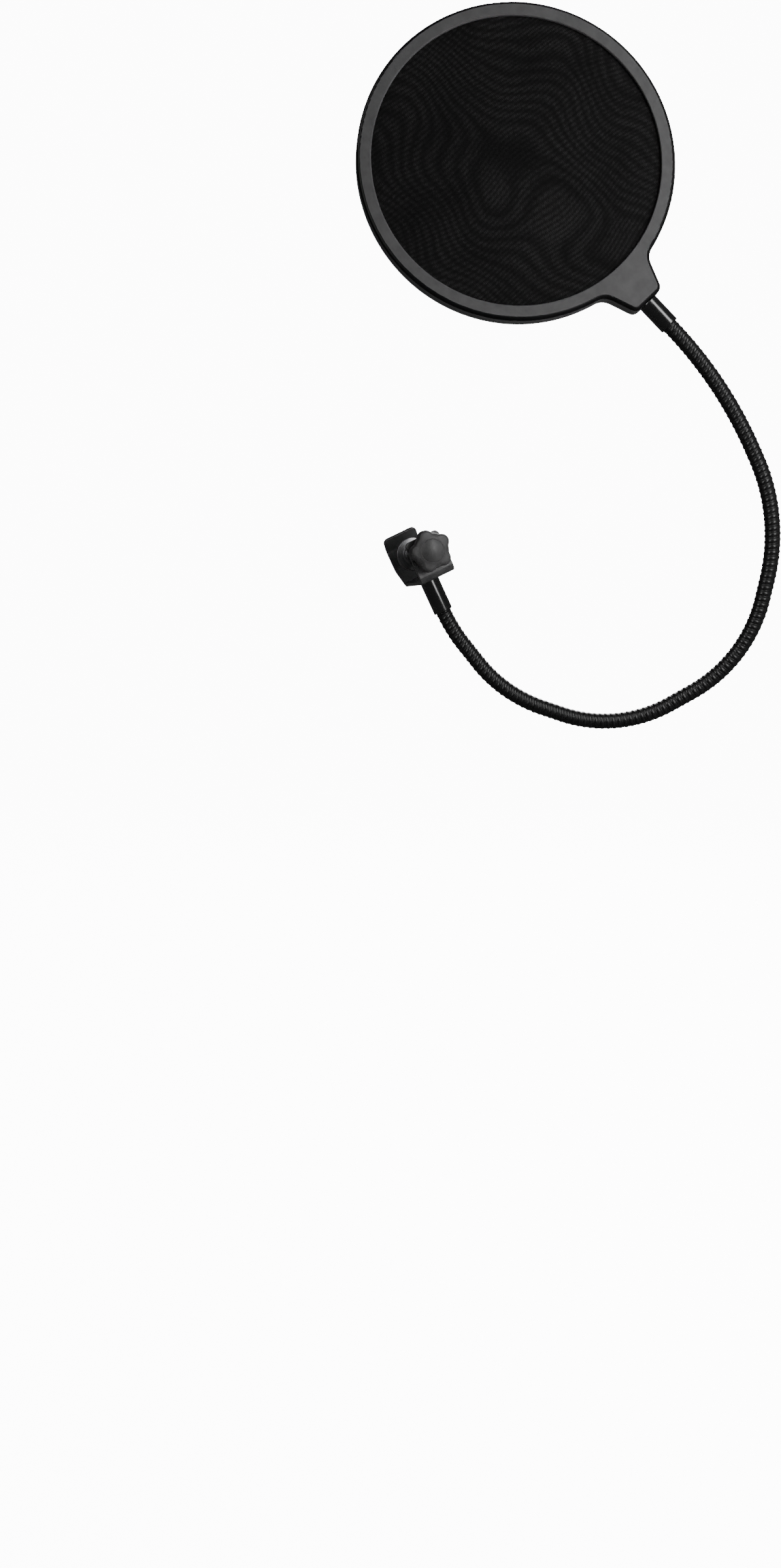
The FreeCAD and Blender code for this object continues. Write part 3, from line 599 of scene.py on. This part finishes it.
def steady_frames(points):
    """Two directions across the line at each point, carried along it without twist."""
    ahead = np.gradient(points, axis=0)
    ahead /= np.linalg.norm(ahead, axis=1)[:, None]
    across = np.zeros_like(points)
    across[0] = np.cross(ahead[0], (0, 1, 0))
    for index in range(1, len(points)):
        across[index] = across[index - 1] - ahead[index] * (across[index - 1] @ ahead[index])
        across[index] /= np.linalg.norm(across[index])
    across[0] /= np.linalg.norm(across[0])
    return ahead, across, np.cross(ahead, across)


def wound_profile(turn):
    """Drop below the crown over one turn: a round wire, then the filler wire beside it."""
    turn = turn % 1.0
    filler_share = 1 - WIRE_SHARE
    from_wire = np.abs(turn - WIRE_SHARE / 2) * WIRE_PITCH
    from_filler = np.abs(turn - WIRE_SHARE - filler_share / 2) * WIRE_PITCH
    wire = WIRE_ROUND - np.sqrt(np.maximum(WIRE_ROUND ** 2 - from_wire ** 2, 0))
    filler = FILLER_DROP + FILLER_ROUND
    filler = filler - np.sqrt(np.maximum(FILLER_ROUND ** 2 - from_filler ** 2, 0))
    return np.minimum(np.minimum(wire, filler), GROOVE_DEPTH)


def gooseneck():
    """The wound gooseneck, one piece across each bend, its turns running on between pieces."""
    line, pivots = neck_line()
    marks, points, gone = resampled(line, WIRE_PITCH / RINGS_PER_TURN)
    ahead, across, third = steady_frames(points)
    angles = np.linspace(0, 2 * math.pi, NECK_SIDES, endpoint=False)
    drop = wound_profile(marks[:, None] / WIRE_PITCH - angles[None, :] / (2 * math.pi))
    reach = (NECK_RADIUS - drop)[:, :, None]
    spokes = (across[:, None, :] * np.cos(angles)[None, :, None]
              + third[:, None, :] * np.sin(angles)[None, :, None])
    skin = points[:, None, :] + spokes * reach
    crown = 1 - drop / GROOVE_DEPTH

    at_pivot = [
        gone[np.argmin(np.linalg.norm(line - np.array(pivot), axis=1))] for pivot in pivots]
    halfway = [(first + second) / 2 for first, second in zip(at_pivot, at_pivot[1:])]
    breaks = [0, *halfway, marks[-1]]
    bounds = [int(np.searchsorted(marks, distance)) for distance in breaks]
    for number, joint in enumerate(neck_joints):
        first, last = bounds[number], bounds[number + 1]
        vertices = skin[first:last + 1].reshape(-1, 3)
        count = last + 1 - first
        faces = ring_faces(count, NECK_SIDES)
        faces.append(tuple(range(NECK_SIDES))[::-1])
        faces.append(tuple(range((count - 1) * NECK_SIDES, count * NECK_SIDES)))
        nodes = [f"gooseneck_{number + 1}"]
        if number == len(neck_joints) - 1:
            nodes.append(f"gooseneck_{number + 2}")
        piece = add_piece(
            f"wound_neck_{number + 1}", vertices, faces, None, neck_wire, nodes,
            closed=False)
        piece.data.attributes.new("crown", "FLOAT", "POINT").data.foreach_set(
            "value", crown[first:last + 1].ravel().astype(np.float32))
        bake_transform(piece)


gooseneck()


# ---------------------------------------------------------------- screen

def gauze_layer(name, node, side):
    """A stretched disc of gauze whose middle gives a little, with faint pulls from its rim."""
    rings, sides = 48, 144
    vertices = [(0, 0, side * (GAUZE_LEVEL - GAUZE_SAG))]
    for ring in range(1, rings + 1):
        share = ring / rings
        for spoke in range(sides):
            angle = 2 * math.pi * spoke / sides
            pull = math.sin(9 * angle + 0.7 * side) + 0.6 * math.sin(17 * angle + 1.9)
            give = GAUZE_SAG * (1 - share ** 2) - GAUZE_RIPPLE * pull * share ** 3 * (1 - share)
            radius = GAUZE_RADIUS * share
            level = side * (GAUZE_LEVEL - give)
            vertices.append((radius * math.cos(angle), radius * math.sin(angle), level))
    faces = [(0, 1 + (spoke + 1) % sides, 1 + spoke) for spoke in range(sides)]
    faces += [tuple(1 + index for index in face) for face in ring_faces(rings, sides)]
    if side > 0:
        faces = [face[::-1] for face in faces]
    piece = add_piece(
        name, vertices, faces, "screen", gauze, [node], screen_place, closed=False)


gauze_layer("front_gauze", "front_mesh", 1)
gauze_layer("rear_gauze", "rear_mesh", -1)


def hoop(name, node):
    """A hoop whose outer edge, where it turns from its face to its wall, is marked for painted shade."""
    piece = softened(name, node, "screen", hoop_plastic, HOOP_EASE)
    back = screen_place.inverted()
    wall, flat = ROUNDED_FACING
    rounding = []
    for face in piece.data.polygons:
        facing = abs(face.normal.dot(screen_front))
        outside = (back @ face.center).to_2d().length / MM > GAUZE_RADIUS
        rounding.append(float(outside and wall < facing < flat))
    piece.data.attributes.new("rounding", "FLOAT", "FACE").data.foreach_set("value", rounding)


hoop("front_hoop_moulded", "front_hoop")
hoop("rear_hoop_moulded", "rear_hoop")
for node, material in (
        ("spacer_ring", spacer_plastic), ("tab_insert", brass), ("upper_stud", stud_steel)):
    carried = frame["nodes"][node]
    carried.data.materials.clear()
    carried.data.materials.append(material)


# ---------------------------------------------------------------- screws

def cross_recess(x, y, reach, depth):
    """Depth of a cross-shaped driver recess at a point of a screw's head."""
    wing = 0.24 * reach
    far, near = max(abs(x), abs(y)), min(abs(x), abs(y))
    if far > reach or near > wing:
        return 0.0
    return depth * min(1.0, 2.2 * (1 - far / reach) + 0.25)


def screw_parts(head_radius, head_height, shank_radius, shank_end, base):
    """Vertices and faces of a pan head screw: its head's crown is up, its shank runs down."""
    sides, rings = 72, 26
    top, crown = base + head_height, 0.18 * head_height
    recess_reach, recess_depth = 0.55 * head_radius, 0.6 * head_height
    vertices = [(0, 0, top - cross_recess(0, 0, recess_reach, recess_depth))]
    for ring in range(1, rings + 1):
        radius = head_radius * 0.9 * ring / rings
        for side in range(sides):
            angle = 2 * math.pi * side / sides
            x, y = radius * math.cos(angle), radius * math.sin(angle)
            level = top - crown * (radius / head_radius) ** 2
            level -= cross_recess(x, y, recess_reach, recess_depth)
            vertices.append((x, y, level))
    outline = [
        (head_radius * 0.97, base + head_height * 0.72),
        (head_radius, base + head_height * 0.55),
        (head_radius, base + 0.05 * head_height),
        (head_radius * 0.98, base),
        (shank_radius, base),
        (shank_radius, shank_end + 0.3),
        (shank_radius - 0.3, shank_end),
    ]
    for radius, level in outline:
        vertices += ring_points(radius, level, sides)
    faces = [(0, 1 + (side + 1) % sides, 1 + side) for side in range(sides)]
    total = rings + len(outline)
    faces += [tuple(1 + index for index in face) for face in ring_faces(total, sides)]
    faces.append(tuple(1 + (total - 1) * sides + side for side in range(sides)))
    return vertices, faces


def sleeve_screw():
    """The screw through the clamp's web, its head inside the jaw."""
    up_place = stand(web_exit, VOICE, -clamp_down)
    points = local_points("sleeve_screw", up_place)
    head_radius = np.hypot(points[:, 0], points[:, 1]).max()
    washer = local_points("sleeve_washer", up_place)[:, 2].max()
    head_height = points[:, 2].max() - washer
    vertices, faces = screw_parts(
        head_radius, head_height, SLEEVE_BORE, points[:, 2].min(), washer)
    add_piece("sleeve_screw_cross_head", vertices, faces, "clamp", plated_steel,
              ["sleeve_screw"], up_place)


def tab_screws():
    """Two small screws let into the back of the tab."""
    points = local_points("tab_screws", screen_place)
    vertices, faces = [], []
    head_radius, head_height, shank_radius = 2.0, 1.3, 1.1
    for side in (-1, 1):
        mine = points[points[:, 1] * side > 0]
        low, high = mine.min(0), mine.max(0)
        x, y = (low[0] + high[0]) / 2, (low[1] + high[1]) / 2
        screw, screw_faces = screw_parts(
            head_radius, head_height, shank_radius, -high[2], -low[2] - head_height)
        first = len(vertices)
        vertices += [(x + a, y - b, -c) for a, b, c in screw]
        faces += [tuple(first + index for index in face) for face in screw_faces]
    add_piece("tab_screws_cross_head", vertices, faces, "screen", plated_steel,
              ["tab_screws"], screen_place)


sleeve_screw()
tab_screws()


# ---------------------------------------------------------------- sleeves and clamp

def end_sleeve(name, node, place, body):
    """Gloss black ferrule, straight to its mouth, which the gooseneck runs into."""
    points = local_points(node, place)
    length = points[:, 2].max()
    radius = np.hypot(points[:, 0], points[:, 1]).max()
    lathe(name, [
        (SLEEVE_BORE, 0),
        (radius - 0.1, 0),
        (radius, 0.4),
        (radius, length - 0.35),
        (radius - 0.3, length),
        (radius - SLEEVE_WALL, length),
        (radius - SLEEVE_WALL, SLEEVE_FLOOR),
        (SLEEVE_BORE, SLEEVE_FLOOR),
    ], body, sleeve_gloss, [node], place, radius=0.18)


end_sleeve("upper_sleeve_turned", "upper_sleeve", upper_sleeve_place, "screen")
end_sleeve("lower_sleeve_turned", "lower_sleeve", lower_sleeve_place, "clamp")
softened(
    "jaw_bracket_painted", "jaw_bracket", "clamp", bracket_satin, BRACKET_EASE)

lathe("sleeve_washer_turned", [(2.6, 1.7), (4.6, 1.7), (4.6, 2.5), (2.6, 2.5)],
      "clamp", plated_steel, ["sleeve_washer"],
      stand(web_exit, VOICE, -clamp_down), radius=0.12)

lathe("pressure_pad_turned", [
    (3.9, 6.0), (8.2, 6.0), (8.2, 7.8), (5.2, 8.1), (4.6, 8.7), (4.6, 10.6),
    (3.08, 10.6), (3.08, 9.0), (2.16, 9.0), (2.16, 7.3), (3.9, 7.3),
], "pad", dark_nickel, ["pressure_pad"], bolt_place)
lathe("pad_facing_disc", [(0, 5.0), (7.9, 5.0), (7.9, 6.0), (0, 6.0)],
      "pad", facing_rubber, ["pad_facing"], bolt_place, closed=False)
lathe("pad_retainer_turned", [(2.1, 6.4), (3.4, 6.4), (3.4, 7.2), (2.1, 7.2)],
      "bolt", plated_steel, ["pad_retainer"], bolt_place, radius=0.12)


# ---------------------------------------------------------------- bolt and knob

def thread_radius(height, angle):
    """Radius of a right-hand thread with flat crests and roots, cut down to a cone at its tip."""
    turn = (height / THREAD_LEAD - angle / (2 * math.pi)) % 1.0
    slope = min(1.0, max(0.0, 1.25 * (1 - abs(2 * turn - 1)) - 0.125))
    cone = TIP_RADIUS + TIP_SLOPE * (height - THREAD_START)
    return min(BOLT_RADIUS - THREAD_DEPTH * slope, cone)


def hex_radius(angle):
    """Radius of the bolt's six-sided head."""
    return HEX_HALF / math.cos((angle + math.pi / 6) % (math.pi / 3) - math.pi / 6)


def clamp_bolt():
    """Bolt with a cut thread, a plain spigot at its tip and a hex head inside the knob."""
    sides = 48
    vertices = []
    for radius, height in ((0.0, 6.4), (2.0, 6.4), (2.1, 6.5), (2.1, 9.1), (2.4, 9.1)):
        vertices += ring_points(radius, height, sides)
    for height in np.arange(THREAD_START, THREAD_END, THREAD_LEAD / THREAD_RINGS):
        vertices += ring_points(lambda angle: thread_radius(height, angle), height, sides)
    for radius, height in (
            (BOLT_RADIUS, THREAD_END + 0.3), (BOLT_RADIUS, HEX_BASE),
            (hex_radius, HEX_BASE), (hex_radius, HEX_TOP), (0.0, HEX_TOP)):
        vertices += ring_points(radius, height, sides)
    faces = ring_faces(len(vertices) // sides, sides)
    add_piece("clamp_bolt_threaded", vertices, faces, "bolt", plated_steel,
              ["clamp_bolt"], bolt_place)


def star_radius(angle):
    """The knob's outline: its round core and its lobes run together."""
    reaches = [KNOB_CORE]
    for lobe in range(LOBE_COUNT):
        off = angle - math.radians(LOBE_START + 360 / LOBE_COUNT * lobe)
        inside = LOBE_RADIUS ** 2 - (LOBE_REACH * math.sin(off)) ** 2
        if inside > 0 and math.cos(off) > 0:
            reaches.append(LOBE_REACH * math.cos(off) + math.sqrt(inside))
    peak = max(reaches)
    total = sum(math.exp((reach - peak) / LOBE_BLEND) for reach in reaches)
    return min(peak + LOBE_BLEND * math.log(total), LOBE_REACH + LOBE_RADIUS)


def star_knob():
    """Moulded knob; each ring is a share of the star outline plus a plain radius."""
    sides = 200
    rings = [
        (0.0, 3.05, 44.0), (0.0, 3.05, 41.75), (0.0, 3.3, 41.5), (0.5, 1.6, 41.5),
        (1.0, -1.0, 41.5), (1.0, -0.55, 41.58), (1.0, -0.2, 41.82), (1.0, -0.03, 42.2),
        (1.0, 0.0, 42.7), (1.0, 0.0, 44.8), (1.0, 0.0, 46.5), (1.0, -0.06, 47.05),
        (1.0, -0.24, 47.55), (1.0, -0.56, 47.98), (1.0, -1.0, 48.3), (1.0, -1.5, 48.5),
        (0.6, 1.9, 48.58), (0.3, 4.3, 48.66), (0.0, 6.5, 48.8), (0.0, 6.1, 48.93),
        (0.0, 5.8, 49.08), (0.0, 5.72, 49.04), (0.0, 5.7, 47.9), (0.0, 3.05, 47.9),
    ]
    vertices = []
    for share, plain, height in rings:
        vertices += ring_points(lambda angle: share * star_radius(angle) + plain, height, sides)
    add_piece("star_knob_moulded", vertices, ring_faces(len(rings), sides, closed=True), "bolt",
              knob_satin, ["star_knob"], bolt_place)


def knob_cap():
    """Domed cap that carries on the knob's own slope, with a fine line between them."""
    sphere = (CAP_RADIUS ** 2 + CAP_RISE ** 2) / (2 * CAP_RISE)
    widest = math.asin(CAP_RADIUS / sphere)
    dome = [
        (sphere * math.sin(turn), CAP_TOP - sphere * (1 - math.cos(turn)))
        for turn in np.linspace(0, widest, 20)]
    lathe("knob_cap_domed", [*dome, (CAP_RADIUS, CAP_BASE), (0, CAP_BASE)],
          "bolt", cap_satin, ["knob_cap"], bolt_place, radius=0.04, closed=False)


clamp_bolt()
star_knob()
knob_cap()


# ---------------------------------------------------------------- floor, light and camera

def backdrop():
    """A pale floor that curves up into a wall behind the object."""
    near, depth, sweep, height, width, steps = -4.0, 2.6, 1.4, 4.0, 5.0, 24
    profile = [(near, 0.0), (depth, 0.0)]
    for step in range(1, steps + 1):
        turn = math.pi / 2 * step / steps
        profile.append((depth + sweep * math.sin(turn), sweep * (1 - math.cos(turn))))
    profile.append((depth + sweep, height))
    vertices = [(side * width, y, FLOOR_LEVEL + z) for y, z in profile for side in (-1, 1)]
    faces = [(2 * k, 2 * k + 1, 2 * k + 3, 2 * k + 2) for k in range(len(profile) - 1)]
    mesh = bpy.data.meshes.new("backdrop")
    mesh.from_pydata(vertices, [], faces)
    mesh.polygons.foreach_set("use_smooth", [True] * len(faces))
    keep_drawn(mesh)
    mesh.materials.append(surface(
        "backdrop_paper", (0.88, 0.88, 0.88), (0.92, 0.92, 0.92), 400.0, (0.8, 0.9), 4.0, 0.02,
        **{"Emission Color": (1, 1, 1, 1), "Emission Strength": PAPER_GLOW}))
    floor = bpy.data.objects.new("backdrop", mesh)
    floor.visible_diffuse = False
    floor.visible_glossy = False
    bpy.context.scene.collection.objects.link(floor)


def soft_light(name, place, aim, width, height, power, mirrored=True, shading=True):
    """A softbox that faces a point, which may leave out its glints or its shading."""
    data = bpy.data.lights.new(name, "AREA")
    data.shape = "RECTANGLE"
    data.size, data.size_y = width, height
    data.energy = power
    lamp = bpy.data.objects.new(name, data)
    lamp.visible_glossy = mirrored
    lamp.visible_diffuse = shading
    lamp.location = place
    lamp.rotation_euler = (Vector(aim) - Vector(place)).to_track_quat("-Z", "Y").to_euler()
    bpy.context.scene.collection.objects.link(lamp)


backdrop()
middle = (cad_low + cad_high) / 2
soft_light("key", (0.35, -0.34, 0.21), middle, 0.32, 0.32, 2.9, mirrored=False)
soft_light("top", (0.25, -0.55, 1.2), middle, 0.5, 0.5, 1.6, mirrored=False)
soft_light("glint_right", (0.30, -0.94, 0.48), middle, 0.30, 1.1, 8.0, shading=False)
soft_light("glint_left", (-0.76, -0.58, 0.42), middle, 0.25, 1.1, 5.0, shading=False)
soft_light("edge", (-0.75, 0.12, -0.55), middle, 0.6, 0.6, 12.0, mirrored=False)
soft_light("under", (0.30, -0.40, -0.26), middle, 0.4, 0.4, 2.8, mirrored=False)
soft_light("back", (0.5, 1.0, 0.75), middle, 0.7, 0.7, 16.0)

world = bpy.data.worlds.new("studio")
world.use_nodes = True
tree = world.node_tree
dim = tree.nodes["Background"]
dim.inputs["Color"].default_value = (1, 1, 1, 1)
dim.inputs["Strength"].default_value = ROOM_LIGHT
pale = new_node(tree, "ShaderNodeBackground", Color=(1, 1, 1, 1), Strength=WHITE_SEEN)
seen = tree.nodes.new("ShaderNodeLightPath").outputs["Is Camera Ray"]
sky = new_node(tree, "ShaderNodeMixShader", i0=seen, i1=dim.outputs[0], i2=pale.outputs[0])
tree.links.new(sky.outputs[0], tree.nodes["World Output"].inputs["Surface"])
bpy.context.scene.world = world

lens = bpy.data.cameras.new("camera")
lens.sensor_width = 36.0
lens.lens = CAMERA_LENS
lens.clip_start = 0.01
camera = bpy.data.objects.new("camera", lens)
camera.location = CAMERA_PLACE
camera.rotation_euler = (math.radians(CAMERA_TILT), 0, math.radians(CAMERA_TURN))
bpy.context.scene.collection.objects.link(camera)
bpy.context.scene.camera = camera
